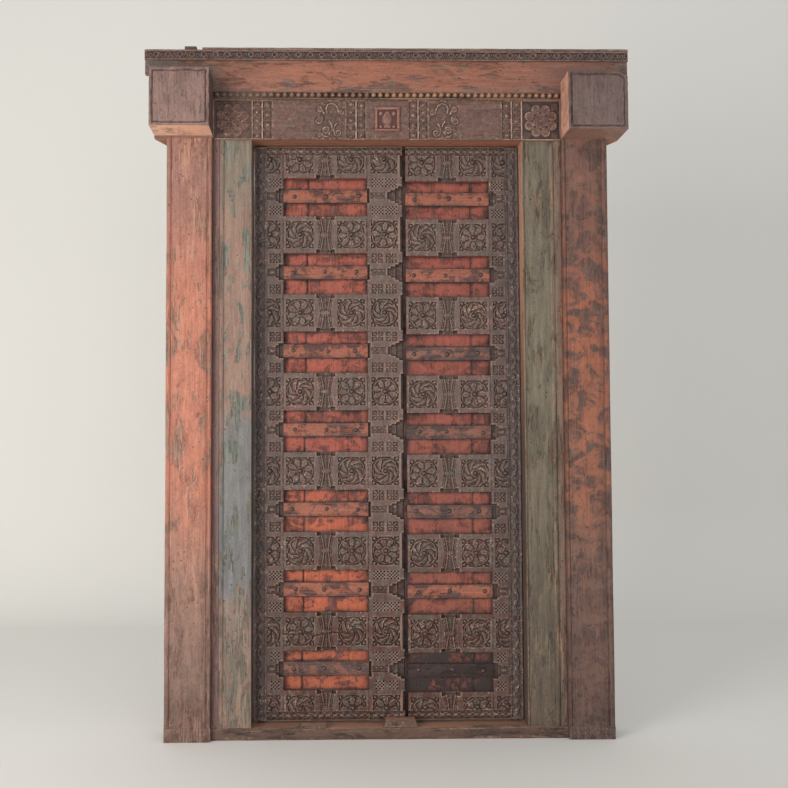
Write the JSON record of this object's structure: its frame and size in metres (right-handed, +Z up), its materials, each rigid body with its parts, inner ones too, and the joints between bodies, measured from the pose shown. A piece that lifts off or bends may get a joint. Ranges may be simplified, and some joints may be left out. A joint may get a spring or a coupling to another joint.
{
  "type": "carved double-leaf door with frame",
  "caption": "Old carved double-leaf door in its timber frame, with studded rails, red panels, a carved header and corner blocks; both leaves swing inward on pivots.",
  "frame": {"origin": "middle of the bounding box on the floor", "axes": "+X to the right seen from the carved front, +Y back through the doorway, +Z up"},
  "size_m": [1.704, 0.23, 2.426],
  "materials": {
    "lintel_orange": "worn orange paint on carved teak",
    "frieze_brown": "worn paint on carved teak",
    "block_brown": "weathered brown paint on teak",
    "post_red": "weathered red-brown paint on teak",
    "jamb_green": "worn grey-green paint on teak",
    "threshold_brown": "worn brown teak",
    "carved_teak": "weathered carved teak",
    "panel_red": "worn red paint on teak planks",
    "batten_orange": "worn orange paint on teak",
    "iron": "rusted wrought iron"
  },
  "bodies": {
    "frame": {"bead_row": "frieze_brown", "corner_block_left": "block_brown", "corner_block_right": "block_brown", "cornice_strip": "lintel_orange", "frieze_board": "frieze_brown", "frieze_medallion": "frieze_brown", "header_beam": "frieze_brown", "inner_jamb_left": "jamb_green", "inner_jamb_right": "jamb_green", "lintel": "lintel_orange", "outer_post_left": "post_red", "outer_post_right": "post_red", "post_base_left": "post_red", "post_base_right": "post_red", "threshold": "threshold_brown", "threshold_chip": "threshold_brown", "threshold_stop": "threshold_brown", "top_fillet": "lintel_orange"},
    "left_leaf": {"left_leaf_batten_1": "batten_orange", "left_leaf_batten_2": "batten_orange", "left_leaf_batten_3": "batten_orange", "left_leaf_batten_4": "batten_orange", "left_leaf_batten_5": "batten_orange", "left_leaf_batten_6": "batten_orange", "left_leaf_batten_7": "batten_orange", "left_leaf_inner_stile": "carved_teak", "left_leaf_meeting_stile": "carved_teak", "left_leaf_nails": "iron", "left_leaf_pivot_stile": "carved_teak", "left_leaf_planks": "panel_red", "left_leaf_rail_1": "carved_teak", "left_leaf_rail_2": "carved_teak", "left_leaf_rail_3": "carved_teak", "left_leaf_rail_4": "carved_teak", "left_leaf_rail_5": "carved_teak", "left_leaf_rail_6": "carved_teak", "left_leaf_rail_7": "carved_teak", "left_leaf_rail_8": "carved_teak", "left_leaf_studs": "iron"},
    "right_leaf": {"right_leaf_batten_1": "batten_orange", "right_leaf_batten_2": "batten_orange", "right_leaf_batten_3": "batten_orange", "right_leaf_batten_4": "batten_orange", "right_leaf_batten_5": "batten_orange", "right_leaf_batten_6": "batten_orange", "right_leaf_batten_7": "batten_orange", "right_leaf_inner_stile": "carved_teak", "right_leaf_nails": "iron", "right_leaf_pivot_stile": "carved_teak", "right_leaf_planks": "panel_red", "right_leaf_rail_1": "carved_teak", "right_leaf_rail_2": "carved_teak", "right_leaf_rail_3": "carved_teak", "right_leaf_rail_4": "carved_teak", "right_leaf_rail_5": "carved_teak", "right_leaf_rail_6": "carved_teak", "right_leaf_rail_7": "carved_teak", "right_leaf_rail_8": "carved_teak", "right_leaf_studs": "iron"}
  },
  "joints": [
    {"name": "left_leaf_swing", "type": "hinge", "parent": "frame", "child": "left_leaf", "pos_m": [-0.451, 0.087, 0], "axis": [0, 0, 1], "range_deg": [0, 90]},
    {"name": "right_leaf_swing", "type": "hinge", "parent": "frame", "child": "right_leaf", "pos_m": [0.451, 0.087, 0], "axis": [0, 0, 1], "range_deg": [-90, 0]}
  ]
}
